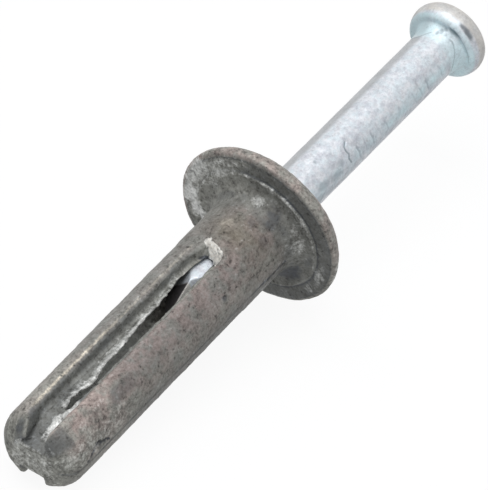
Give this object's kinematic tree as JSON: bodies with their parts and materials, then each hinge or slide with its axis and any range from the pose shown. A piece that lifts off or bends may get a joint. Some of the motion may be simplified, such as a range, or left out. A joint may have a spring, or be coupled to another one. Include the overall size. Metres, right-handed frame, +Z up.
{
  "type": "hammer drive anchor",
  "caption": "Mushroom-head masonry anchor: a drive nail stands part way out of a grooved, slit metal sleeve, and hammering it in spreads the sleeve in its hole.",
  "frame": {"origin": "on the ground under the middle of the anchor's length, as it lies on its flange rim and its nose", "axes": "+X along the ground from the sleeve's nose towards the nail's head, which leans up by 8.23 degrees, +Z up, out of the upper groove"},
  "size_m": [0.0486, 0.0126, 0.0125],
  "materials": {
    "zinc_casting": "die-cast zinc alloy, dull grey-brown, stained",
    "zinc_plated_steel": "bright zinc plating, pale and slightly blue"
  },
  "bodies": {
    "sleeve_body": {"sleeve": "zinc_casting"},
    "nail_body": {"drive_nail": "zinc_plated_steel"}
  },
  "joints": [
    {"name": "nail_drive", "type": "slide", "parent": "sleeve_body", "child": "nail_body", "axis": [-0.9897, 0, -0.1431], "range_m": [0, 0.0133]}
  ]
}
